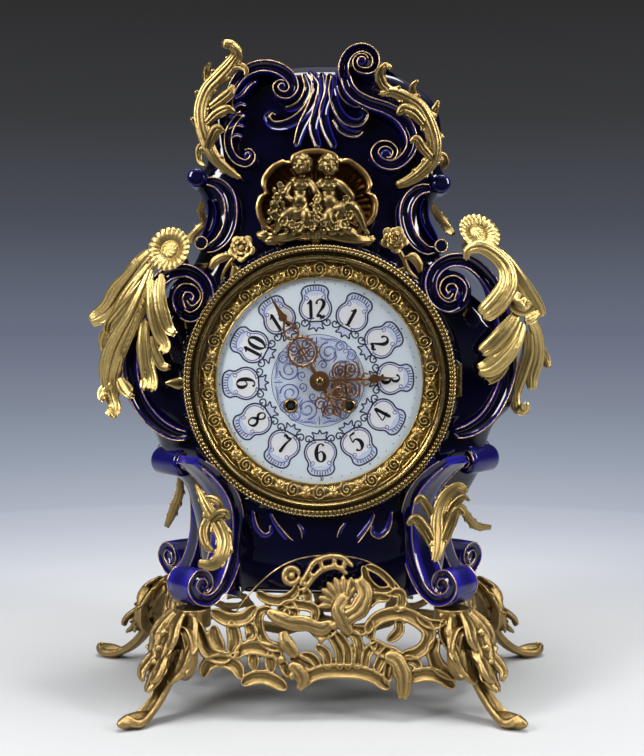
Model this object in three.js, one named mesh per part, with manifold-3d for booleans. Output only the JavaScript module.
// Shelf clock: a glazed ceramic case on a gilt openwork stand, with a round striking movement.
// Millimetres. X is to the right, Y to the back, Z up, and the floor is Z = 0.
import * as THREE from 'three';
import { mergeVertices } from 'three/addons/utils/BufferGeometryUtils.js';
import Module from 'manifold-3d';

const wasm = await Module();
wasm.setup();

// Driving sizes
const fitGap = 0.3;            // clearance between pieces that touch
const dialCentreZ = 238;
const dialFaceY = -44;         // front of the enamel
const dialShownRadius = 74;
const caseFrontY = -41;        // flat round the dial
const caseBackY = 60;
const caseWall = 7;
const caseFootZ = 76;          // underside of the ceramic feet
const windingHoleX = 21;
const windingHoleDrop = 18;
const plateRadius = 46;
const plateThickness = 2;
const plateSpace = 28;         // between the movement's plates
const motionWorkSpace = 14.7;  // dial plate to front plate
const pendulumLength = 155;
const standReachX = 190;
const standReachY = 104;
const ringSides = 28;          // facets round the bezel, dial and case holes

// Radii round the dial, each from the one inside it
const seatTubeInner = dialShownRadius + 7.5;
const seatTubeOuter = seatTubeInner + 3;
const dialHoleRadius = seatTubeOuter + 0.5;
const bezelInner = seatTubeOuter + 1;
const bezelOuter = bezelInner + 12.5;
const bossRadius = bezelOuter + 2;
const bezelRecessRadius = bossRadius + 1.3;

// Finishes
const finishes = {
  gilt: new THREE.MeshStandardMaterial({ color: 0xb98f45, roughness: 0.35, metalness: 1 }),
  standGilt: new THREE.MeshStandardMaterial({ color: 0xa07a42, roughness: 0.45, metalness: 1 }),
  glaze: new THREE.MeshStandardMaterial({ color: 0x0b0b45, roughness: 0.08, metalness: 0 }),
  brass: new THREE.MeshStandardMaterial({ color: 0xb08d4c, roughness: 0.3, metalness: 1 }),
  enamel: new THREE.MeshStandardMaterial({ color: 0xc9d6ea, roughness: 0.2, metalness: 0 }),
  steel: new THREE.MeshStandardMaterial({ color: 0x8f9296, roughness: 0.3, metalness: 1 }),
  glass: new THREE.MeshStandardMaterial({ color: 0xffffff, roughness: 0.02 }),
};
finishes.glass.transparent = true;
finishes.glass.opacity = 0.2;

// Solids

function toSolid(geometry, weld = 1e-3) {
  const bare = geometry.clone();
  bare.deleteAttribute('normal');
  bare.deleteAttribute('uv');
  const merged = mergeVertices(bare, weld);
  const p = merged.attributes.position.array;
  const index = merged.index.array;
  const triangles = [];
  let volume = 0;
  for (let i = 0; i < index.length; i += 3) {
    const [a, b, c] = [index[i], index[i + 1], index[i + 2]];
    if (a === b || b === c || a === c) continue;
    triangles.push(a, b, c);
    const va = new THREE.Vector3().fromArray(p, 3 * a);
    const vb = new THREE.Vector3().fromArray(p, 3 * b);
    const vc = new THREE.Vector3().fromArray(p, 3 * c);
    volume += va.dot(vb.cross(vc));
  }
  if (volume < 0) triangles.reverse();
  const mesh = new wasm.Mesh({
    numProp: 3,
    vertProperties: new Float32Array(p),
    triVerts: new Uint32Array(triangles),
  });
  mesh.merge();
  return new wasm.Manifold(mesh);
}

function toGeometry(solid) {
  const mesh = solid.getMesh();
  const geometry = new THREE.BufferGeometry();
  geometry.setAttribute('position', new THREE.BufferAttribute(new Float32Array(mesh.vertProperties), 3));
  geometry.setIndex(new THREE.BufferAttribute(new Uint32Array(mesh.triVerts), 1));
  geometry.computeVertexNormals();
  return geometry;
}

// Joins and cuts leave a few edges far shorter than a hair, and these are welded away in a few passes.
const hairEdges = [0.011, 0.017, 0.029, 0.043];

function withoutSlivers(solid) {
  return hairEdges.reduce((cleaned, hair) => {
    try {
      const next = toSolid(toGeometry(cleaned), hair);
      return next.status() === 'NoError' && next.decompose().length === 1 ? next : cleaned;
    } catch {
      return cleaned;
    }
  }, solid);
}

function join(geometries) {
  return geometries.map((geometry) => toSolid(geometry)).reduce((all, next) => all.add(next));
}

function cut(solid, geometries) {
  return geometries.map((geometry) => toSolid(geometry)).reduce((left, tool) => left.subtract(tool), solid);
}

const clock = new THREE.Group();
const dialGroup = new THREE.Group();
dialGroup.position.z = dialCentreZ;
clock.add(dialGroup);

function addPiece(name, shape, finish, parent = clock) {
  const solid = shape.isBufferGeometry ? toSolid(shape) : shape;
  const mesh = new THREE.Mesh(toGeometry(withoutSlivers(solid)), finish);
  mesh.name = name;
  parent.add(mesh);
  return mesh;
}

// Shape makers

// A turned piece about the Y axis, from [radius, y] points.
function turned(profile, sides, x = 0, z = 0) {
  const points = profile.map(([r, y]) => new THREE.Vector2(r, y));
  const closed = profile[0][0] > 0;
  if (closed) points.push(points[0].clone());
  return new THREE.LatheGeometry(points, sides).translate(x, 0, z);
}

function rod(radius, yFront, yBack, sides = 10, x = 0, z = 0) {
  return turned([[0, yFront], [radius, yFront], [radius, yBack], [0, yBack]], sides, x, z);
}

function uprightRod(radius, x, y, zLow, zHigh, sides = 10) {
  const height = zHigh - zLow;
  const geometry = new THREE.CylinderGeometry(radius, radius, height, sides);
  return geometry.rotateX(Math.PI / 2).translate(x, y, zLow + height / 2);
}

function box(x0, x1, y0, y1, z0, z1) {
  const geometry = new THREE.BoxGeometry(x1 - x0, y1 - y0, z1 - z0);
  return geometry.translate((x0 + x1) / 2, (y0 + y1) / 2, (z0 + z1) / 2);
}

// A flat outline in X and Z, from yFront to yBack.
function plate(shape, yFront, yBack) {
  const settings = { depth: yBack - yFront, bevelEnabled: false, curveSegments: 8 };
  const geometry = new THREE.ExtrudeGeometry(shape, settings);
  return geometry.rotateX(Math.PI / 2).translate(0, yBack, 0);
}

function outline(points) {
  return new THREE.Shape(points.map(([x, z]) => new THREE.Vector2(x, z)));
}

function smoothOutline(points, divisions) {
  const vectors = points.map(([x, z]) => new THREE.Vector3(x, z, 0));
  const curve = new THREE.CatmullRomCurve3(vectors, true, 'centripetal');
  const spaced = curve.getPoints(divisions).slice(0, -1);
  return new THREE.Shape(spaced.map((p) => new THREE.Vector2(p.x, p.y)));
}

function ellipsePath(x, z, rx, rz, sides = 10, turn = 0) {
  const points = [];
  for (let i = 0; i < sides; i++) {
    const a = (2 * Math.PI * i) / sides;
    const spot = new THREE.Vector2(rx * Math.cos(a), rz * Math.sin(a));
    points.push(spot.rotateAround(new THREE.Vector2(), turn).add(new THREE.Vector2(x, z)));
  }
  return new THREE.Path(points);
}

function disc(radius, yFront, yBack, sides, holes = []) {
  const shape = new THREE.Shape(ellipsePath(0, 0, radius, radius, sides).getPoints());
  for (const [x, z, r, n = 10] of holes) shape.holes.push(ellipsePath(x, z, r, r, n));
  return plate(shape, yFront, yBack);
}

function ball(x, y, z, rx, ry, rz, tilt = 0, sides = 6) {
  const geometry = new THREE.SphereGeometry(1, sides, sides - 2).scale(rx, ry, rz);
  return geometry.rotateY(tilt).translate(x, y, z);
}

// A tapering blade along a path: a leaf, a scroll stem or a cast limb.
// Each station is [x, y, z, half width, half thickness], and facing is the way its flat side looks.
function blade(stations, facing, rings = 9, sides = 6) {
  const places = stations.map(([x, y, z]) => new THREE.Vector3(x, y, z));
  const halves = stations.map(([, , , width, thickness]) => new THREE.Vector3(width, thickness, 0));
  const path = new THREE.CatmullRomCurve3(places, false, 'centripetal');
  const sizes = new THREE.CatmullRomCurve3(halves, false, 'centripetal');
  const normal = new THREE.Vector3(...facing).normalize();
  const positions = [];
  for (let i = 0; i < rings; i++) {
    const t = i / (rings - 1);
    const centre = path.getPoint(t);
    const size = sizes.getPoint(t);
    const across = new THREE.Vector3().crossVectors(path.getTangent(t), normal).normalize();
    const up = new THREE.Vector3().crossVectors(across, path.getTangent(t)).normalize();
    for (let k = 0; k < sides; k++) {
      const a = (2 * Math.PI * k) / sides;
      const point = centre.clone().addScaledVector(across, size.x * Math.cos(a));
      positions.push(...point.addScaledVector(up, size.y * Math.sin(a)).toArray());
    }
  }
  return skin(positions, rings, sides);
}

// Closes a stack of equal rings with flat ends.
function skin(positions, rings, sides) {
  const index = [];
  for (let i = 0; i < rings - 1; i++) {
    for (let k = 0; k < sides; k++) {
      const a = i * sides + k;
      const b = i * sides + ((k + 1) % sides);
      index.push(a, b, a + sides, b, b + sides, a + sides);
    }
  }
  const last = (rings - 1) * sides;
  for (let k = 1; k < sides - 1; k++) {
    index.push(0, k + 1, k);
    index.push(last, last + k, last + k + 1);
  }
  const geometry = new THREE.BufferGeometry();
  geometry.setAttribute('position', new THREE.Float32BufferAttribute(positions, 3));
  geometry.setIndex(index);
  return geometry;
}

// A flat spiral scroll band in X and Z. It starts at its outer end and winds inwards.
function volute(x, z, outerRadius, bandWidth, startAngle, turns, yFront, yBack) {
  const steps = Math.round(turns * 8);
  const [outer, inner] = [[], []];
  for (let i = 0; i <= steps; i++) {
    const t = i / steps;
    const a = startAngle + Math.sign(bandWidth) * turns * 2 * Math.PI * t;
    const r = outerRadius * (1 - 0.62 * t);
    const w = Math.abs(bandWidth) * (1 - 0.4 * t);
    outer.push([x + r * Math.cos(a), z + r * Math.sin(a)]);
    inner.unshift([x + (r - w) * Math.cos(a), z + (r - w) * Math.sin(a)]);
  }
  return plate(outline([...outer, ...inner]), yFront, yBack);
}

function turnAboutZ(geometry, degrees, x, y) {
  return geometry.rotateZ(THREE.MathUtils.degToRad(degrees)).translate(x, y, 0);
}

// Stand: four cast corner legs and four pierced aprons, bolted together under the ceramic feet.
const padTop = caseFootZ - fitGap;
const footPad = 5;
const padRadius = 13;          // ledge under each ceramic foot
const padFoot = 62;
const rearSeat = [112, 52];
const apronThickness = 4;
const apronLean = 0.197;       // radians, bottom edge outwards
const frontApronHalf = 84;
const sideApronFront = -42.4;
const sideApronBack = 49.8;

const apronHoles = {
  front: [
    [-73, 57, 5, 9], [-57, 60, 4, 6], [-31, 61, 8, 6], [-34, 82, 5, 3], [-52, 41, 3, 5], [-41, 41, 4, 6],
    [-2, 46, 5, 6], [0, 58, 5, 4], [8, 104, 7, 4], [-12, 97, 5, 4], [43, 81, 5, 3], [46, 60, 7, 6],
    [65, 60, 7, 9], [76, 48, 3, 6], [35, 43, 3, 6], [44, 45, 2, 6], [25, 46, 2, 8], [10, 47, 2, 7],
    [-22, 88, 4, 3], [26, 71, 6, 3], [-16, 58, 3, 7],
  ],
  other: [[-34, 56, 6, 9], [-19, 58, 5, 8], [0, 52, 8, 7], [0, 74, 6, 6], [19, 58, 5, 8], [34, 56, 6, 9]],
};

const frontApronEdge = [
  [-84, 70], [-76, 77], [-66, 72], [-55, 73], [-47, 80], [-43, 90], [-33, 95], [-24, 99], [-16, 107],
  [-6, 112],
  [4, 115], [16, 114], [26, 109], [34, 106], [37, 98], [46, 95], [55, 93], [61, 87], [60, 80], [67, 76],
  [76, 71],
  [84, 71], [84, 31], [75, 34], [66, 31], [61, 20], [55, 29], [50, 22], [43, 29], [33, 34], [19, 36], [6, 35],
  [-4, 32], [-10, 24], [-17, 29], [-23, 22], [-30, 28], [-40, 31], [-48, 30], [-55, 25], [-60, 33], [-67, 39],
  [-75, 40], [-84, 34],
];

const plainApronEdge = [
  [-46, 68], [-36, 72], [-24, 70], [-14, 80], [0, 88], [14, 80], [24, 70], [36, 72], [46, 68], [46, 36],
  [36, 40],
  [24, 33], [14, 26], [0, 38], [-14, 26], [-24, 33], [-36, 40], [-46, 36],
];

function apron(edge, holes, stretch = 1) {
  const shape = outline(edge.map(([x, z]) => [x * stretch, z]));
  for (const [x, z, rx, rz] of holes) shape.holes.push(ellipsePath(x * stretch, z, rx, rz, 6));
  return plate(shape, -apronThickness / 2, apronThickness / 2).rotateX(-apronLean);
}

const apronFootY = 84.8;       // where the front apron's plane would meet the floor
const rearApronFootY = 78;
const rearStretch = 2.35;
const frontApron = apron(frontApronEdge, apronHoles.front).translate(0, -apronFootY, 0);
addPiece('stand_apron_front', frontApron, finishes.standGilt);
const rearPads = [-1, 1].map((side) => (
  uprightRod(padRadius + fitGap, side * rearSeat[0], rearSeat[1], padFoot - 5, padTop + 20, 12)
));
const rearPanel = apron(plainApronEdge, apronHoles.other, rearStretch);
const rearApron = rearPanel.rotateZ(Math.PI).translate(0, rearApronFootY, 0);
addPiece('stand_apron_rear', cut(toSolid(rearApron), rearPads), finishes.standGilt);

const sidePlanAngle = 75;
const sideApronX = 122;
for (const [name, side] of [['left', -1], ['right', 1]]) {
  const sidePanel = apron(plainApronEdge, apronHoles.other);
  const panel = turnAboutZ(sidePanel, side * sidePlanAngle, side * sideApronX, 1);
  addPiece(`stand_apron_${name}`, cut(toSolid(panel), rearPads), finishes.standGilt);
}

// Each leg: the limb down to the scrolled foot, a broad acanthus mask at the corner and two side scrolls.
const frontTipY = -standReachY + 3;
const rearTip = [standReachX - 2, standReachY - 3];
const standLegs = {
  front_left: {
    seat: [-91, -56.5], knee: [-104, -75], toe: [-126, -93], tip: [-137, frontTipY], tipZ: 10,
  },
  front_right: {
    seat: [95, -56.5], knee: [108, -75], toe: [130, -93], tip: [141, frontTipY], tipZ: 7,
  },
  rear_left: {
    seat: [-rearSeat[0], rearSeat[1]], knee: [-138, 70], toe: [-172, 88],
    tip: [-rearTip[0], rearTip[1]], tipZ: 10,
  },
  rear_right: {
    seat: rearSeat, knee: [138, 70], toe: [172, 88], tip: rearTip, tipZ: 12,
  },
};

function standLeg({ seat, knee, toe, tip, tipZ }) {
  const outward = [toe[0] - seat[0], toe[1] - seat[1], 20];
  const limb = blade([
    [seat[0], seat[1], 68, 12, 6],
    [(seat[0] + knee[0]) / 2, (seat[1] + knee[1]) / 2, 60, 13, 7],
    [knee[0], knee[1], 38, 10, 6],
    [(knee[0] + toe[0]) / 2, (knee[1] + toe[1]) / 2, 16, 7, 5],
    [toe[0], toe[1], 5, 7, 4],
    [tip[0], tip[1], tipZ, 4, 3],
  ], outward, 8, 6);
  const across = new THREE.Vector2(-outward[1], outward[0]).normalize();
  const parts = [
    limb,
    uprightRod(footPad, ...toe, 0, 5),
    uprightRod(padRadius, ...seat, padFoot, padTop, 12),
  ];
  for (const side of [-1, 1]) {
    const reach = (d) => [knee[0] + side * d * across.x, knee[1] + side * d * across.y];
    parts.push(blade([
      [seat[0], seat[1], 66, 8, 4],
      [...reach(16), 58, 8, 4],
      [...reach(20), 42, 6, 4],
      [...reach(12), 30, 5, 3],
      [...reach(3), 34, 4, 3],
    ], outward, 6, 4));
  }
  const whole = join(parts);
  const frontGap = box(-frontApronHalf - fitGap, frontApronHalf + fitGap, -200, -30, -20, 130);
  const rearHalf = 46 * rearStretch;
  const rearGap = box(-rearHalf - fitGap, rearHalf + fitGap, 58, 200, -20, padFoot + 9);
  const sideGap = box(-250, 250, sideApronFront, sideApronBack, -20, padTop - 8);
  return cut(whole, [frontGap, rearGap, sideGap, box(-250, 250, -200, 200, -30, 0)]);
}

for (const [corner, sizes] of Object.entries(standLegs)) {
  addPiece(`stand_leg_${corner}`, standLeg(sizes), finishes.standGilt);
}

// Case: one fired ceramic shell, open below, with a round hole front and back.
// Each station is [z, left, right, front, back].
const bellyFront = caseFrontY + 1;
const bellyBack = caseBackY - 1;
const caseStations = [
  [84, -88, 92, -50, 56], [104, -91, 95, -49, 55], [124, -93, 98, -46, 53], [142, -97, 106, -43, 51],
  [157, -102, 115, bellyFront, 50], [168, -112, 121, bellyFront, 51], [177, -118, 126, bellyFront, 53],
  [188, -120, 125, bellyFront, 55], [203, -127, 130, bellyFront, 58], [222, -144, 146, bellyFront, bellyBack],
  [248, -148, 148, bellyFront, bellyBack], [272, -141, 141, bellyFront, bellyBack],
  [292, -122, 124, bellyFront, bellyBack], [308, -104, 106, bellyFront, 59], [325, -93, 93, -40, 56],
  [340, -87, 85, -37, 50], [353, -84, 81, -34, 46], [368, -87, 84, -32, 43], [384, -93, 94, -30, 42],
  [398, -84, 90, -29, 40], [418, -84, 91, -28, 38], [438, -84, 88, -27, 35], [452, -68, 76, -26, 32],
  [462, -48, 60, -24, 28], [468, -28, 38, -18, 20],
];

const caseSides = 22;
const waistZ = 186;            // below the waist the corners of the shell grow rounder
const waistRun = 22;

function caseShape(stations, sides, inset) {
  const positions = [];
  for (const [z, left, right, front, back] of stations) {
    const middle = (left + right) / 2;
    const half = (right - left) / 2 - inset;
    const rounder = THREE.MathUtils.clamp((waistZ - z) / waistRun, 0, 1);
    for (let k = 0; k < sides; k++) {
      const a = (2 * Math.PI * (k + 0.5)) / sides;
      const [c, s] = [Math.cos(a), Math.sin(a)];
      const depth = s < 0 ? -front - inset : back - inset;
      positions.push(
        middle + half * Math.sign(c) * Math.abs(c) ** (0.55 + 0.25 * rounder),
        depth * Math.sign(s) * Math.abs(s) ** (0.45 + 0.35 * rounder),
        z,
      );
    }
  }
  return skin(positions, stations.length, sides);
}

// A scroll leg in its own plane, [distance out along the corner, z].
const volutePlanRadius = 19;
const legBand = 24;
const legProfile = [
  [0, 172], [26, 170], [37, 160], [38, 142], [35, 126], [36, 115], [44, 113], [53, 108], [58, 99], [59, 91],
  [55, 83], [48, 78], [40, caseFootZ], [31, 78], [24, 84], [16, 86], [8, 98], [3, 112], [0, 130],
];
const scrollLegs = {
  front_left: [-91, -56.5, 225],
  front_right: [95, -56.5, 315],
  rear_left: [-rearSeat[0], rearSeat[1], 135],
  rear_right: [...rearSeat, 45],
};

// A roll above each leg, at the waist: [x, y, z].
const waistRollRadius = 10.6;
const waistRollHalf = 15;
const waistRolls = {
  front_left: [-109, -22, 177],
  front_right: [117, -22, 179],
  rear_left: [-112, 36, 177],
  rear_right: [118, 36, 179],
};

function scrollLeg([x, y, heading]) {
  const leg = plate(smoothOutline(legProfile, 20), -legBand / 2, legBand / 2);
  return turnAboutZ(leg.translate(-40, 0, 0), heading, x, y);
}

function waistRoll([corner, [x, y, z]]) {
  const roll = rod(waistRollRadius, -waistRollHalf, waistRollHalf, 12, 0, z);
  return turnAboutZ(roll, scrollLegs[corner][2], x, y);
}

// The broad scroll down each edge of the belly, as [x, y, z] on its way down. It stands out from the shell.
const bellyScrollWidth = 6;    // half of it
const bellyScrollDepth = 9;    // half of it
const bellyScrolls = [
  [[-95, -33, 317], [-108, -33, 316], [-122, -32, 304], [-132, -28, 286], [-138, -26, 262], [-138, -26, 240],
    [-131, -28, 220], [-119, -30, 206]],
  [[93, -33, 325], [107, -33, 325], [120, -32, 315], [131, -28, 297], [138, -26, 271], [139, -26, 247],
    [132, -28, 225], [121, -30, 209]],
];

function bellyScroll(places) {
  const stations = places.map(([x, y, z]) => [x, y, z, bellyScrollWidth, bellyScrollDepth]);
  return blade(stations, [0, -1, 0], 10, 8);
}

const crestScrolls = [
  volute(32, 473, 13, -5, Math.PI, 1.4, -44, -9),
  volute(-28.6, 453.6, 12.5, -6, Math.PI / 2, 1.2, -42, -16),
  volute(46.6, 400, 16, -6, Math.PI / 2, 1.4, -44, -10),
  volute(-50.6, 391, 12, 5, Math.PI / 2, 1.3, -42, -10),
  volute(-94, 301, 16, -6, Math.PI / 2, 1.4, -48, -20),
  volute(94, 304, 16, 6, Math.PI / 2, 1.4, -48, -20),
  volute(-87.5, 339, 9, -4, Math.PI / 2, 1.2, -42, -10),
  volute(86.5, 339, 9, 4, Math.PI / 2, 1.2, -42, -10),
  blade([
    [-78, -24, 430, 6, 8], [-70, -30, 452, 7, 9], [-52, -32, 466, 7, 9], [-34, -32, 469, 7, 9],
    [-18, -30, 458, 6, 8],
  ], [0, -1, 0], 7, 6),
  blade([
    [21, -30, 478, 5, 8], [19, -32, 462, 6, 9], [27, -34, 444, 7, 9], [46, -36, 432, 7, 9],
    [62, -36, 418, 7, 9],
    [62, -34, 402, 6, 8],
  ], [0, -1, 0], 8, 6),
  blade([
    [33, -20, 482, 4, 8], [48, -22, 474, 6, 8], [62, -24, 456, 8, 8], [78, -24, 436, 8, 8],
  ], [0, -1, 0], 6, 6),
  blade([
    [-84, -20, 330, 6, 8], [-76, -24, 350, 5, 9], [-80, -26, 370, 6, 10], [-92, -20, 384, 8, 10],
  ], [0, -1, 0], 6, 6),
  blade([
    [84, -20, 330, 6, 8], [74, -24, 350, 5, 9], [79, -26, 370, 6, 10], [91, -20, 384, 8, 10],
  ], [0, -1, 0], 6, 6),
];

const cavityStations = caseStations.filter(([z], i) => z < 440 && i % 3 === 0);
cavityStations.unshift([40, -88, 92, -50, 56]);
const caseOuter = join([
  caseShape(caseStations, caseSides, 0),
  rod(bossRadius, caseFrontY, 0, ringSides, 0, dialCentreZ),
  rod(bossRadius, 0, caseBackY, ringSides, 0, dialCentreZ),
  ...Object.values(scrollLegs).map(scrollLeg),
  ...Object.entries(waistRolls).map(waistRoll),
  ...bellyScrolls.map(bellyScroll),
  ...crestScrolls,
]);
const archCuts = [
  plate(new THREE.Shape(ellipsePath(2, 74, 56, 38, 20).getPoints()), -120, 120),
  plate(new THREE.Shape(ellipsePath(0, 74, 34, 30, 16).getPoints()), -200, 200).rotateZ(Math.PI / 2),
];
const caseBody = cut(caseOuter, [
  caseShape(cavityStations, 14, caseWall),
  rod(dialHoleRadius, -80, 120, ringSides, 0, dialCentreZ),
  rod(bezelRecessRadius, -80, caseFrontY, ringSides, 0, dialCentreZ),
  ...archCuts,
]);
addPiece('case_body', caseBody, finishes.glaze);

// Gilt mounts, pinned to the case through blind holes in the glaze. Each is cut back to its seat on the case.
const seatClearance = toSolid(caseShape(caseStations, caseSides, -1.5 * fitGap));

function seatOnCase(parts) {
  const bodies = join(parts).subtract(seatClearance).subtract(caseBody).decompose();
  return bodies.reduce((best, next) => (next.volume() > best.volume() ? next : best));
}

// Acanthus sprays: each row is one blade, and each station is [x, y, z, half width, half thickness].
const forward = [0, -1, 0];
const sprays = {
  crest_leaf_left: [
    [[-56, -32, 383, 4, 3], [-74, -36, 398, 9, 3], [-82, -34, 424, 9, 4], [-78, -34, 450, 8, 4],
      [-66, -36, 470, 6, 3],
      [-60, -34, 484, 2, 2]],
    [[-78, -32, 420, 6, 3], [-88, -30, 432, 5, 3], [-90, -28, 446, 2, 2]],
    [[-76, -33, 440, 6, 3], [-84, -30, 456, 5, 3], [-76, -30, 470, 2, 2]],
  ],
  crest_leaf_right: [
    [[60, -34, 382, 4, 3], [76, -34, 388, 7, 3], [85, -32, 408, 8, 4], [80, -32, 432, 8, 4],
      [68, -32, 448, 7, 3],
      [50, -36, 472, 3, 2]],
    [[78, -32, 430, 6, 3], [72, -34, 444, 6, 3], [60, -36, 452, 3, 2]],
    [[84, -30, 408, 6, 3], [90, -28, 400, 4, 3], [88, -28, 388, 2, 2]],
  ],
  neck_leaf_left: [
    [[-82, -28, 378, 2, 2], [-88, -22, 366, 5, 2], [-88, -22, 350, 6, 3], [-82, -34, 336, 3, 2]],
  ],
  neck_leaf_right: [
    [[80, -28, 374, 2, 2], [86, -22, 362, 5, 2], [88, -22, 348, 6, 3], [84, -34, 336, 3, 2]],
  ],
  leg_leaf_front_left: [
    [[-86, -52, 166, 3, 3], [-82, -60, 150, 8, 3], [-76, -66, 132, 9, 4], [-68, -70, 116, 7, 3],
      [-62, -68, 106, 3, 2]],
    [[-80, -62, 138, 5, 3], [-88, -64, 124, 5, 3], [-84, -70, 112, 2, 2]],
  ],
  leg_leaf_front_right: [
    [[86, -52, 168, 3, 3], [82, -60, 152, 8, 3], [80, -66, 134, 9, 4], [78, -70, 116, 7, 3],
      [80, -68, 104, 3, 2]],
    [[82, -62, 150, 5, 3], [70, -64, 140, 5, 3], [66, -66, 126, 2, 2]],
  ],
  leg_leaf_rear_left: [
    [[-110, 40, 168, 3, 3], [-122, 50, 152, 6, 3], [-130, 56, 134, 6, 3], [-130, 58, 122, 2, 2]],
  ],
  leg_leaf_rear_right: [
    [[114, 40, 170, 3, 3], [126, 50, 154, 6, 3], [136, 54, 138, 7, 3], [140, 54, 128, 2, 2]],
  ],
};
for (const [name, blades] of Object.entries(sprays)) {
  addPiece(name, seatOnCase(blades.map((stations) => blade(stations, forward, 7, 5))), finishes.gilt);
}

// Shoulder mounts: an aster flower with a cascade of leaves below it.
function petalOutline(x, z, radius, petals, depthShare) {
  const points = [];
  for (let i = 0; i < petals * 2; i++) {
    const a = (Math.PI * i) / petals;
    const r = i % 2 ? radius * depthShare : radius;
    points.push([x + r * Math.cos(a), z + r * Math.sin(a)]);
  }
  return outline(points);
}

function shoulderMount(side, flowerX, flowerZ, flowerTurn) {
  const flower = plate(petalOutline(0, 0, 14, 11, 0.8), -4, 2);
  const eye = ball(0, -4, 0, 5, 3, 5);
  const head = [flower, eye].map((g) => g.rotateZ(flowerTurn).translate(flowerX, -34, flowerZ));
  const x = (d) => side * d;
  const fall = [
    [[x(108), -34, 330, 7, 6], [x(122), -30, 322, 11, 5], [x(140), -20, 302, 11, 4], [x(154), -10, 276, 9, 4],
      [x(160), -4, 250, 5, 3]],
    [[x(106), -36, 326, 7, 6], [x(117), -41, 300, 12, 5], [x(133), -40, 274, 12, 4], [x(148), -35, 246, 9, 4],
      [x(153), -27, 214, 4, 3]],
    [[x(110), -36, 314, 6, 5], [x(112), -46, 290, 8, 4], [x(118), -48, 266, 7, 4], [x(122), -44, 246, 3, 3]],
    [[x(128), -26, 312, 7, 5], [x(148), -8, 290, 8, 4], [x(164), 4, 268, 6, 3], [x(170), 8, 250, 3, 3]],
  ];
  return seatOnCase([...head, ...fall.map((stations) => blade(stations, [side * 0.5, -1, 0], 7, 5))]);
}
addPiece('shoulder_mount_left', shoulderMount(-1, -106, 333, -0.5), finishes.gilt);
addPiece('shoulder_mount_right', shoulderMount(1, 110, 346, 1.1), finishes.gilt);

// Fan shell plaque under the crest, the two cherubs seated on it, and a flower each side.
const plaqueX = -3;
const plaqueZ = dialCentreZ + bezelRecessRadius + 21.7;
const plaqueRadius = 43;
const plaqueFlutes = 13;
const plaqueY = -42;

function shellEdge() {
  const points = [];
  const steps = plaqueFlutes * 3;
  for (let i = 0; i <= steps; i++) {
    const a = -0.35 + ((Math.PI + 0.7) * i) / steps;
    const r = plaqueRadius - 1.6 * Math.abs(Math.cos((Math.PI * i) / 3));
    points.push([plaqueX + r * Math.cos(a), plaqueZ + r * Math.sin(a)]);
  }
  const foot = plaqueZ - 21;
  points.push([plaqueX - 26, foot], [plaqueX, foot - 3], [plaqueX + 26, foot]);
  return outline(points);
}
addPiece('shell_plaque', seatOnCase([plate(shellEdge(), plaqueY - 3, plaqueY + 8)]), finishes.gilt);

function cherub(x, side) {
  const z = plaqueZ + 1;
  const y = plaqueY - 8.6;
  return [
    ball(x - side * 2, y - 1, z + 24, 6, 6, 6.5),
    ball(x, y, z + 8, 8, 6, 12, side * 0.15),
    ball(x - side * 2, y - 2, z - 7, 8, 7, 8),
    ball(x + side * 5, y - 3, z - 15, 10, 5, 5, side * 0.4),
    ball(x + side * 11, y - 3, z - 22, 5, 5, 9, -side * 0.2),
    ball(x - side * 6, y - 3, z + 10, 7, 3.5, 3.5, -side * 0.5),
    ball(x + side * 9, y - 2, z + 3, 3.5, 3.5, 10, -side * 0.35),
  ];
}
const garland = [-22, -12, -2, 8, 18].map((d, i) => {
  const hang = 6 * Math.sin((i + 0.5) / 2);
  return ball(plaqueX + d, plaqueY - 13, plaqueZ - 16 - hang, 6.5, 5, 5.5);
});
const plaqueFront = plaqueY - 3 - fitGap;
const figures = join([...cherub(plaqueX - 12, -1), ...cherub(plaqueX + 13, 1), ...garland]);
const figureBack = [
  box(-80, 80, plaqueFront, 20, 300, 420),
  rod(bezelRecessRadius + fitGap, -80, -20, ringSides, 0, dialCentreZ),
];
addPiece('cherub_group', cut(figures, figureBack), finishes.gilt);

function bloom(x, z, radius, petals) {
  return [
    plate(petalOutline(x, z, radius, petals, 0.72), -51, -38),
    ball(x, -51, z, radius * 0.4, 3, radius * 0.4),
    blade([[x, -44, z, 3, 3], [x * 1.12, -42, z - 8, 3, 3], [x * 1.3, -40, z - 14, 2, 2]], forward, 5, 5),
  ];
}

// The flowers stand just clear of the bezel, at these bearings from twelve o'clock.
function besideBezel(bearing, clear) {
  const a = THREE.MathUtils.degToRad(bearing);
  const reach = bezelRecessRadius + clear;
  return [reach * Math.sin(a), dialCentreZ + reach * Math.cos(a)];
}
addPiece('blossom_left', seatOnCase(bloom(...besideBezel(-31.4, 10), 11, 5)), finishes.gilt);
addPiece('rose_right', seatOnCase(bloom(...besideBezel(27.5, 11.4), 11, 6)), finishes.gilt);

// Bezel, glass, sight ring and dial. Everything here is centred on the dial.
const seatFront = -46.5;
const seatOuter = bezelOuter - 1.5;
const hingeX = bezelOuter + 2.5;
const hingeY = -48.5;
const knuckleRadius = 2.3;
const pinRadius = 1;
const knuckleHalf = 4;
const hingeHalf = 11;

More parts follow.
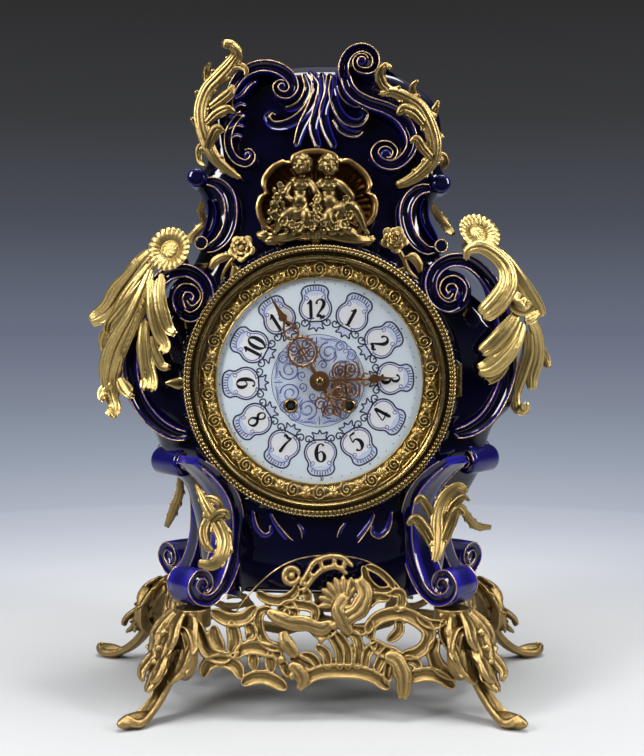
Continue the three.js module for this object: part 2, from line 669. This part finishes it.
const seatProfile = [
  [bezelInner + 0.2, seatFront], [seatOuter, seatFront], [seatOuter, caseFrontY - fitGap],
  [seatTubeOuter, caseFrontY - fitGap], [seatTubeOuter, -24], [seatTubeInner, -24],
  [seatTubeInner, dialFaceY + 1], [bezelInner + 0.2, dialFaceY + 1],
];
const lugs = [[knuckleHalf + fitGap, hingeHalf], [-hingeHalf, -knuckleHalf - fitGap]];
const bezelSeat = cut(join([
  turned(seatProfile, ringSides),
  ...lugs.flatMap(([low, high]) => [
    uprightRod(knuckleRadius, hingeX, hingeY, low, high),
    box(hingeX - 7.5, hingeX, seatFront - 0.1, dialFaceY, low, high),
  ]),
]), [uprightRod(pinRadius + fitGap, hingeX, hingeY, -20, 20)]);
addPiece('bezel_seat', bezelSeat, finishes.brass, dialGroup);

const bezelProfile = [
  [0, -52.8], [4.5, -56], [6.3, -54.2], [7.7, -55.6], [10.1, -55.6], [12.5, -52.5], [12.5, -47], [2.5, -47],
  [2.5, -51.2], [0, -51.2],
].map(([across, y]) => [bezelInner + across, y]);
const thumbTab = [[-2, 4], [6, 3], [13, 0.5], [13, -3], [6, -6], [-2, -7]]
  .map(([reach, z]) => [-bezelOuter - reach, z]);
const bezelRing = cut(join([
  turned(bezelProfile, ringSides),
  uprightRod(knuckleRadius, hingeX, hingeY, -knuckleHalf, knuckleHalf),
  box(bezelOuter - 2, hingeX, -50, -48, -knuckleHalf, knuckleHalf),
  plate(outline(thumbTab), -52, -48),
]), [uprightRod(pinRadius + fitGap, hingeX, hingeY, -20, 20)]);
addPiece('bezel_ring', bezelRing, finishes.brass, dialGroup);

const pinHead = uprightRod(1.9, hingeX, hingeY, hingeHalf + fitGap, hingeHalf + 2);
const hingePin = join([uprightRod(pinRadius, hingeX, hingeY, -hingeHalf, hingeHalf + 1), pinHead]);
addPiece('bezel_hinge_pin', hingePin, finishes.brass, dialGroup);

const glassRim = bezelInner + 2.2;
const glassBend = glassRim - 41.7;
const glassProfile = [
  [0, -59.5], [glassBend, -57.3], [glassRim - 2.5, -50.8], [glassRim, -50.8], [glassRim, -49.3],
  [glassRim - 3.3, -49.3], [glassBend - 0.4, -55.8], [0, -58],
];
addPiece('bezel_glass', turned(glassProfile, ringSides), finishes.glass, dialGroup);

const sightBackY = dialFaceY - fitGap;
const sightProfile = [
  [0, -45.4], [2, -47.6], [6, -48.6], [10, -47.6], [11.4, -46.4], [11.4, sightBackY], [0, sightBackY],
].map(([across, y]) => [dialShownRadius + across, y]);
addPiece('sight_ring', turned(sightProfile, ringSides), finishes.gilt, dialGroup);

const dialRadius = seatTubeInner - fitGap;
const centreHole = 4.2;
const windingHole = 4.6;
const windingHoles = [-windingHoleX, windingHoleX].map((x) => [x, -windingHoleDrop, windingHole, 12]);
const dialBackY = dialFaceY + 2;
addPiece('dial', disc(dialRadius, dialFaceY, dialBackY, ringSides, [[0, 0, centreHole, 12], ...windingHoles]),
  finishes.enamel, dialGroup);

for (const [name, side] of [['left', -1], ['right', 1]]) {
  const profile = [
    [3.7, dialFaceY - 1], [5.3, dialFaceY - 0.6], [5.3, dialFaceY - fitGap], [4.3, dialFaceY - fitGap],
    [4.3, dialBackY], [3.7, dialBackY],
  ];
  addPiece(`winding_eyelet_${name}`, turned(profile, 10, side * windingHoleX, -windingHoleDrop),
    finishes.brass, dialGroup);
}

// Hands, drawn straight up and then turned to the time they show.
const minuteHandLength = dialShownRadius - 1;
const hourHandLength = 54;
const minuteHandTurn = -30;
const hourHandTurn = 87.5;

function hand(halfEdge, holes, yFront, yBack, turn, boreRadius) {
  const right = halfEdge.map(([x, z]) => [x, z]);
  const left = halfEdge.map(([x, z]) => [-x, z]).reverse().filter(([x]) => x !== 0);
  const shape = outline([...right, ...left]);
  shape.holes.push(ellipsePath(0, 0, boreRadius, boreRadius, 12));
  for (const [x, z, rx, rz] of holes) shape.holes.push(ellipsePath(x, z, rx, rz, 8));
  return plate(shape, yFront, yBack).rotateY(THREE.MathUtils.degToRad(turn));
}
const minuteEdge = [
  [0, -7.6], [4, -6.5], [7.2, -2.4], [7.2, 2.4], [4.5, 6.2], [2.2, 9], [3, 12], [8, 17], [10.5, 23],
  [10, 30], [7, 35], [3, 38], [2, 42], [3.4, 46], [2, 50], [1.6, minuteHandLength - 15],
  [1, minuteHandLength - 7], [0, minuteHandLength],
];
const hourEdge = [
  [0, -7.6], [4, -6.5], [7.2, -2.4], [7.2, 2.4], [4.5, 6.2], [2.4, 9], [3.2, 12], [8.5, 16], [11, 22],
  [10.5, 28], [7, 33], [3, 36], [2.4, 39], [5, 42], [3, 46], [1.4, 49], [0, hourHandLength],
];
const minuteHoles = [[0, 18, 3, 3], [5, 24, 3, 4], [-5, 24, 3, 4], [0, 31, 3, 3], [0, 24.5, 1.2, 2.6]];
const hourHoles = [[0, 17, 3, 3], [5, 23, 3.4, 4], [-5, 23, 3.4, 4], [0, 30, 3, 3]];
const cannonOuter = 2.2;
const hourTubeInner = cannonOuter + fitGap;
const hourTubeOuter = 3.5;
const hourHandY = [-48.2, -47.2];
const minuteHandY = [-51, -50];
const hourHand = hand(hourEdge, hourHoles, ...hourHandY, hourHandTurn, hourTubeOuter + 0.1);
addPiece('hour_hand', hourHand, finishes.gilt, dialGroup);
addPiece('minute_hand', hand(minuteEdge, minuteHoles, ...minuteHandY, minuteHandTurn, cannonOuter + 0.1),
  finishes.gilt, dialGroup);
const nutProfile = [
  [0, -54.2], [2, -53.8], [3.4, -52.6], [3.4, -51.3], [1.5, -51.3], [1.5, -52.4], [0, -52.4],
];
addPiece('hand_nut', turned(nutProfile, 10), finishes.brass, dialGroup);

// Movement. Wheels lie in planes parallel to the dial, and places are [x, z] from the dial centre.
const dialPlateBack = dialBackY + fitGap + 1;
const frontPlateY = dialPlateBack + motionWorkSpace;
const innerFrontY = frontPlateY + plateThickness;
const innerBackY = innerFrontY + plateSpace;
const rearPlateY = innerBackY + plateThickness;
const meshSlack = 0.25;        // added to each pair's centre distance, as depthing clearance
const arborRadius = 1.2;
const barrelArborRadius = 2.6;
const drumRadius = 15.5;
const pillarRadius = 2;
const pillarReach = 39;
const pillarAngles = [48, 165, 270];

// Tooth counts
const greatTeeth = 48;
const secondPinionLeaves = 8;
const secondTeeth = 32;
const centrePinionLeaves = 8;
const centreTeeth = 72;
const thirdPinionLeaves = 6;
const thirdTeeth = 60;
const escapePinionLeaves = 6;
const escapeTeeth = 38;
const cannonTeeth = 10;
const minuteTeeth = 30;
const minutePinionLeaves = 8;
const hourTeeth = 32;

// Places of the arbors
const centre = [0, 0];
const goingPlace = [windingHoleX, -windingHoleDrop];
const strikePlace = [-windingHoleX, -windingHoleDrop];
const secondToCentre = 22;
const greatModule = 0.82;
const secondReach = (greatModule * (greatTeeth + secondPinionLeaves)) / 2 + meshSlack;
const escapePlace = [0, 26];
const palletPlace = [0, 38.5];
const thirdPlace = [-15, 15];
const minutePlace = [-10.6, 6.1];
const hammerPlace = [38, -6];
const bellPlace = [0, -10];

function between([ax, az], [bx, bz]) {
  return { distance: Math.hypot(bx - ax, bz - az), angle: Math.atan2(bz - az, bx - ax) };
}

// The point at two given distances from two others, on the upper side.
function twoReach(a, b, fromA, fromB) {
  const { distance, angle } = between(a, b);
  const along = (fromA ** 2 - fromB ** 2 + distance ** 2) / (2 * distance);
  const aside = -Math.sqrt(fromA ** 2 - along ** 2);
  return [
    a[0] + along * Math.cos(angle) - aside * Math.sin(angle),
    a[1] + along * Math.sin(angle) + aside * Math.cos(angle),
  ];
}
const secondPlace = twoReach(goingPlace, centre, secondReach, secondToCentre);

function moduleFor(a, b, teethA, teethB) {
  return (2 * (between(a, b).distance - meshSlack)) / (teethA + teethB);
}

// The turn of a pinion that puts a gap opposite its wheel's tooth, for a wheel with a tooth at angle 0.
function meshTurn(wheel, pinion, wheelTeeth, leaves) {
  const { angle } = between(wheel, pinion);
  const share = (angle * wheelTeeth) / (2 * Math.PI);
  return angle + Math.PI - ((0.5 - share) * 2 * Math.PI) / leaves;
}

function toothed([x, z], teeth, toothModule, turn, yFront, yBack, crossings = 0) {
  const pitch = (teeth * toothModule) / 2;
  const points = [];
  for (let i = 0; i < teeth * 2; i++) {
    const a = turn + (Math.PI * i) / teeth;
    const r = i % 2 ? pitch - 1.15 * toothModule : pitch + 0.95 * toothModule;
    points.push([x + r * Math.cos(a), z + r * Math.sin(a)]);
  }
  const shape = outline(points);
  for (let i = 0; i < crossings; i++) {
    const a = (2 * Math.PI * (i + 0.5)) / crossings;
    const [r, hole] = [pitch * 0.56, pitch * 0.26];
    shape.holes.push(ellipsePath(x + r * Math.cos(a), z + r * Math.sin(a), hole, hole, 5));
  }
  return plate(shape, yFront, yBack);
}

const greatY = [innerFrontY + 3.5, innerFrontY + 5.5];
const drumBackY = innerFrontY + 19;
const secondWheelY = [innerBackY - 4.5, innerBackY - 3];
const centreWheelY = [innerFrontY + 0.6, innerFrontY + 2];
const thirdWheelY = [innerFrontY + 13, innerFrontY + 14.5];
const escapeWheelY = [innerFrontY + 5, innerFrontY + 6.2];
const arborEnds = [innerFrontY + fitGap, innerBackY - fitGap];
const centreModule = moduleFor(centre, thirdPlace, centreTeeth, thirdPinionLeaves);
const thirdModule = moduleFor(thirdPlace, escapePlace, thirdTeeth, escapePinionLeaves);
const secondModule = moduleFor(secondPlace, centre, secondTeeth, centrePinionLeaves);
const widen = 0.6;             // a pinion stands this much proud of its wheel on each side

function pinionFor(wheel, place, wheelTeeth, leaves, toothModule, [yFront, yBack]) {
  const turn = meshTurn(wheel, place, wheelTeeth, leaves);
  return toothed(place, leaves, toothModule, turn, yFront - widen + 0.2, yBack + widen);
}

// Dial plate: it backs the enamel, and its posts carry the movement.
function spokes(reach, angles) {
  return angles.map((a) => [reach * Math.cos((a * Math.PI) / 180), reach * Math.sin((a * Math.PI) / 180)]);
}
const posts = spokes(pillarReach, pillarAngles);
const postHoles = [[0, 0, 5, 12], ...windingHoles];
const dialPlate = join([
  disc(dialRadius, dialBackY + fitGap, dialPlateBack, ringSides, postHoles),
  ...posts.map(([x, z]) => rod(2.5, dialPlateBack - 0.5, frontPlateY - fitGap, 8, x, z)),
]);
addPiece('dial_plate', dialPlate, finishes.brass, dialGroup);

const barrelHole = barrelArborRadius + fitGap;
const frontHoles = [
  [0, 0, arborRadius + fitGap, 8], [...minutePlace, arborRadius + fitGap, 8],
  [...goingPlace, barrelHole, 10], [...strikePlace, barrelHole, 10],
];
const frontPlate = join([
  disc(plateRadius, frontPlateY, innerFrontY, 28, frontHoles),
  ...posts.map(([x, z]) => rod(pillarRadius, innerFrontY - 0.5, innerBackY - fitGap, 8, x, z)),
]);
addPiece('front_plate', frontPlate, finishes.brass, dialGroup);

// Rear plate with the bell stand and the hammer's stud screwed to it.
const bellMouthY = rearPlateY + 16;
const bellCrownY = bellMouthY + 17;
const bellFoot = [15, -27];
const bellArmY = [rearPlateY + 18, rearPlateY + 21];
const studRadius = 1.4;
const palletHole = arborRadius + 1;
const bellArm = box(-3, 3, ...bellArmY, 0, between(bellFoot, bellPlace).distance)
  .rotateY(Math.atan2(bellPlace[0] - bellFoot[0], bellPlace[1] - bellFoot[1]))
  .translate(bellFoot[0], 0, bellFoot[1]);
const rearPlateHoles = [
  [...palletPlace, palletHole, 8], [...goingPlace, barrelHole, 10], [...strikePlace, barrelHole, 10],
];
const rearPlate = join([
  disc(plateRadius, innerBackY, rearPlateY, 28, rearPlateHoles),
  rod(2.5, rearPlateY - 0.5, bellArmY[1], 8, ...bellFoot),
  bellArm,
  rod(2, bellArmY[0], bellCrownY + 3, 8, ...bellPlace),
  rod(4, bellCrownY + fitGap, bellCrownY + 3, 8, ...bellPlace),
  rod(studRadius, rearPlateY - 0.5, rearPlateY + 18, 8, ...hammerPlace),
]);
addPiece('rear_plate', rearPlate, finishes.brass, dialGroup);

// Barrels, each free on its winding arbor, which has a square at the front for the key.
const barrelEnds = [greatY[0], drumBackY];
for (const [name, place] of [['going', goingPlace], ['strike', strikePlace]]) {
  const [x, z] = place;
  const barrel = cut(join([
    toothed(place, greatTeeth, greatModule, 0, ...greatY),
    rod(drumRadius, greatY[1] - 0.5, barrelEnds[1], 20, x, z),
  ]), [rod(barrelHole, barrelEnds[0] - 5, barrelEnds[1] + 5, 10, x, z)]);
  addPiece(`${name}_barrel`, barrel, finishes.brass, dialGroup);
  const square = box(x - 1.7, x + 1.7, dialFaceY + 0.5, frontPlateY - 5, z - 1.7, z + 1.7);
  const arbor = join([
    rod(barrelArborRadius, frontPlateY - 6, rearPlateY + 2, 10, x, z),
    square,
    rod(4.5, drumBackY + fitGap, drumBackY + 3, 12, x, z),
  ]);
  addPiece(`${name}_arbor`, arbor, finishes.steel, dialGroup);
}

// Going train: each wheel is fixed on its arbor with its pinion.
addPiece('second_wheel', join([
  toothed(secondPlace, secondTeeth, secondModule, 0, ...secondWheelY),
  pinionFor(goingPlace, secondPlace, greatTeeth, secondPinionLeaves, greatModule, greatY),
  rod(arborRadius, ...arborEnds, 8, ...secondPlace),
]), finishes.brass, dialGroup);

const centrePinionTurn = meshTurn(secondPlace, centre, secondTeeth, centrePinionLeaves);
const centrePinionY = [secondWheelY[0] - widen, secondWheelY[1] + widen];
addPiece('centre_wheel', join([
  toothed(centre, centreTeeth, centreModule, 0, ...centreWheelY, 4),
  toothed(centre, centrePinionLeaves, secondModule, centrePinionTurn, ...centrePinionY),
  rod(arborRadius, minuteHandY[0] - 1.2, arborEnds[1], 8),
]), finishes.brass, dialGroup);

addPiece('third_wheel', join([
  toothed(thirdPlace, thirdTeeth, thirdModule, 0, ...thirdWheelY, 4),
  pinionFor(centre, thirdPlace, centreTeeth, thirdPinionLeaves, centreModule, centreWheelY),
  rod(0.9, ...arborEnds, 8, ...thirdPlace),
]), finishes.brass, dialGroup);

const escapeRadius = 9;
function escapeOutline([x, z]) {
  const points = [];
  for (let i = 0; i < escapeTeeth; i++) {
    const a = (2 * Math.PI * i) / escapeTeeth;
    points.push([x + escapeRadius * Math.cos(a), z + escapeRadius * Math.sin(a)]);
    points.push([x + 7.7 * Math.cos(a + 0.03), z + 7.7 * Math.sin(a + 0.03)]);
  }
  return outline(points);
}
addPiece('escape_wheel', join([
  plate(escapeOutline(escapePlace), ...escapeWheelY),
  pinionFor(thirdPlace, escapePlace, thirdTeeth, escapePinionLeaves, thirdModule, thirdWheelY),
  rod(0.8, ...arborEnds, 8, ...escapePlace),
]), finishes.brass, dialGroup);

// Recoil pallets on their arbor, with the crutch behind the rear plate and its fork round the pendulum rod.
const crutchY = [rearPlateY + 2.5, rearPlateY + 4];
const pendulumY = rearPlateY + 8;
const rodRadius = 1.2;
const forkGap = rodRadius + 0.5;
const forkZ = 8;
const anchorEdge = [
  [-9.2, -7.4], [-8.4, -3], [-5, 2.2], [0, 3.6], [5, 2.2], [8.4, -3], [9.2, -7.4], [7.6, -6.2], [6, -2.8],
  [3.2, -1.6], [0, -1.6], [-3.2, -1.6], [-6, -2.8], [-7.6, -6.2],
];
const anchor = plate(outline(anchorEdge.map(([x, z]) => [x, z + palletPlace[1]])), ...escapeWheelY);
addPiece('pallets', join([
  anchor,
  rod(arborRadius, arborEnds[0], crutchY[1], 8, ...palletPlace),
  box(-1.2, 1.2, ...crutchY, forkZ, palletPlace[1]),
  box(-forkGap - 1, forkGap + 1, ...crutchY, forkZ - 2, forkZ + 2),
  ...[-1, 1].map((side) => {
    const x = side * (forkGap + 0.5);
    return box(x - 0.5, x + 0.5, crutchY[0], pendulumY + 2.5, forkZ - 1.5, forkZ + 1.5);
  }),
]), finishes.steel, dialGroup);

// Suspension cock, spring and pendulum.
const cockTop = 46;
const cock = join([
  box(-13, -9, rearPlateY + fitGap, pendulumY + 3, 36, cockTop + 4),
  box(9, 13, rearPlateY + fitGap, pendulumY + 3, 36, cockTop + 4),
  box(-13, 13, rearPlateY + fitGap, pendulumY + 3, cockTop, cockTop + 4),
]);
addPiece('suspension_cock', cock, finishes.brass, dialGroup);
const springFootZ = 33;
const spring = box(-0.25, 0.25, pendulumY - 2.5, pendulumY + 2.5, springFootZ, cockTop - fitGap);
addPiece('suspension_spring', spring, finishes.steel, dialGroup);

const bobRadius = 17;
const bobZ = palletPlace[1] - pendulumLength;
const rodTop = springFootZ - fitGap;
const rodFoot = bobZ - bobRadius - 5;
addPiece('pendulum_rod', join([
  uprightRod(rodRadius, 0, pendulumY, rodFoot, rodTop, 8),
  uprightRod(4, 0, pendulumY, rodFoot, rodFoot + 5 - fitGap, 12),
  box(-2, 2, pendulumY - 2, pendulumY + 2, rodTop - 8, rodTop),
]), finishes.brass, dialGroup);
const bobProfile = [
  [0, pendulumY - 5], [8, pendulumY - 4.4], [15, pendulumY - 2], [bobRadius, pendulumY], [15, pendulumY + 2],
  [8, pendulumY + 4.4], [0, pendulumY + 5],
];
const bob = cut(toSolid(turned(bobProfile, 14, 0, bobZ)), [
  uprightRod(rodRadius + fitGap, 0, pendulumY, bobZ - bobRadius - 5, bobZ + bobRadius + 5, 8),
]);
addPiece('pendulum_bob', bob, finishes.brass, dialGroup);

// Bell on its stand, and the hammer on its stud.
const bellProfile = [
  [32, bellMouthY], [29.5, bellMouthY + 8], [23, bellMouthY + 14], [10, bellCrownY], [2.4, bellCrownY],
  [2.4, bellCrownY - 1.6], [9.6, bellCrownY - 1.6], [21.8, bellMouthY + 12.6], [28, bellMouthY + 7.4],
  [30.4, bellMouthY],
];
addPiece('bell', turned(bellProfile, 16, ...bellPlace), finishes.steel, dialGroup);
const hammerArmY = [rearPlateY + 15.5, rearPlateY + 18.5];
const strikeAngle = 35;
const headReach = 32 + 0.8 + 3.5;
const headPlace = [
  bellPlace[0] + headReach * Math.cos((strikeAngle * Math.PI) / 180),
  bellPlace[1] + headReach * Math.sin((strikeAngle * Math.PI) / 180),
];
const hammerArm = between(hammerPlace, headPlace);
addPiece('bell_hammer', cut(join([
  rod(3.4, rearPlateY + fitGap, hammerArmY[1], 10, ...hammerPlace),
  box(-1.5, 1.5, ...hammerArmY, 0, hammerArm.distance)
    .rotateY(Math.atan2(headPlace[0] - hammerPlace[0], headPlace[1] - hammerPlace[1]))
    .translate(hammerPlace[0], 0, hammerPlace[1]),
  rod(3.5, hammerArmY[0] - 1, hammerArmY[1] + 4, 10, ...headPlace),
]), [
  rod(studRadius + fitGap, rearPlateY - 5, hammerArmY[1] + 5, 8, ...hammerPlace),
]), finishes.steel, dialGroup);

// Motion work under the dial: the cannon pinion turns the minute wheel, whose pinion turns the hour wheel.
const cannonY = [frontPlateY - 4.5, frontPlateY - 3];
const hourWheelY = [frontPlateY - 8.5, frontPlateY - 7];
const cannonModule = moduleFor(centre, minutePlace, cannonTeeth, minuteTeeth);
const hourModule = moduleFor(centre, minutePlace, hourTeeth, minutePinionLeaves);
const cannonTurn = meshTurn(minutePlace, centre, minuteTeeth, cannonTeeth);
addPiece('cannon_pinion', cut(join([
  toothed(centre, cannonTeeth, cannonModule, cannonTurn, cannonY[0] - widen, cannonY[1] + widen),
  rod(cannonOuter, minuteHandY[0] - 0.2, frontPlateY - fitGap, 12),
]), [rod(arborRadius + fitGap, -80, 0, 8)]), finishes.steel, dialGroup);
addPiece('minute_wheel', join([
  toothed(minutePlace, minuteTeeth, cannonModule, 0, ...cannonY),
  pinionFor(centre, minutePlace, hourTeeth, minutePinionLeaves, hourModule, hourWheelY),
  rod(arborRadius, hourWheelY[0] - 1, frontPlateY + 1.5, 8, ...minutePlace),
  rod(1.8, hourWheelY[1], cannonY[0] + 0.2, 8, ...minutePlace),
]), finishes.brass, dialGroup);
addPiece('hour_wheel', cut(join([
  toothed(centre, hourTeeth, hourModule, 0, ...hourWheelY),
  rod(hourTubeOuter, hourHandY[0] - 0.2, hourWheelY[1] + 1, 12),
]), [rod(hourTubeInner, -80, 0, 12)]), finishes.brass, dialGroup);

// Back of the case: a ring in the rear hole, its hinged door, and two straps that pull both rings together.
const ringInner = seatTubeInner - 15.5;
const ringOuter = seatTubeOuter + 5.5;
const ringFlangeY = [caseBackY + fitGap, caseBackY + 2.8];
const rearRingProfile = [
  [ringInner, ringFlangeY[0]], [ringInner, ringFlangeY[1]], [ringOuter, ringFlangeY[1]],
  [ringOuter, ringFlangeY[0]], [seatTubeOuter, ringFlangeY[0]], [seatTubeOuter, 40], [seatTubeInner, 40],
  [seatTubeInner, ringFlangeY[0]],
];
const doorRadius = ringInner + 4;
const doorY = [ringFlangeY[1] + fitGap, ringFlangeY[1] + 1.8];
const doorHingeX = doorRadius + 3;
const doorHingeY = doorY[0] + knuckleRadius + 0.1;
const rearRing = cut(join([
  turned(rearRingProfile, ringSides),
  ...lugs.flatMap(([low, high]) => [
    uprightRod(knuckleRadius, doorHingeX, doorHingeY, low, high),
    box(doorHingeX - 1.5, doorHingeX + 2, ringFlangeY[1] - 0.5, doorHingeY, low, high),
  ]),
]), [uprightRod(pinRadius + fitGap, doorHingeX, doorHingeY, -20, 20)]);
addPiece('rear_ring', rearRing, finishes.brass, dialGroup);
const soundHoles = spokes(44, [45, 135, 225, 315]).map(([x, z]) => [x, z, 8, 8]);
const rearDoor = cut(join([
  disc(doorRadius, ...doorY, ringSides, soundHoles),
  uprightRod(knuckleRadius, doorHingeX, doorHingeY, -knuckleHalf, knuckleHalf),
  box(doorRadius - 3, doorHingeX, doorY[0], doorY[1], -knuckleHalf, knuckleHalf),
  rod(4, doorY[1] - 0.5, doorY[1] + 6, 10, 8 - doorRadius, 0),
]), [
  uprightRod(pinRadius + fitGap, doorHingeX, doorHingeY, -20, 20),
  ...lugs.map(([low, high]) => (
    box(doorHingeX - knuckleRadius - fitGap, ringOuter, caseBackY, 70, low - fitGap, high + fitGap)
  )),
]);
addPiece('rear_door', rearDoor, finishes.brass, dialGroup);
addPiece('rear_hinge_pin', uprightRod(pinRadius, doorHingeX, doorHingeY, -hingeHalf, hingeHalf),
  finishes.brass, dialGroup);
for (const [name, side] of [['left', -1], ['right', 1]]) {
  const middle = side * (seatTubeInner - 2.35);
  const half = 1.25;
  const strap = box(middle - half, middle + half, dialPlateBack + 1, ringFlangeY[0] - fitGap, -4, 4);
  addPiece(`strap_${name}`, strap, finishes.steel, dialGroup);
}

export default clock;
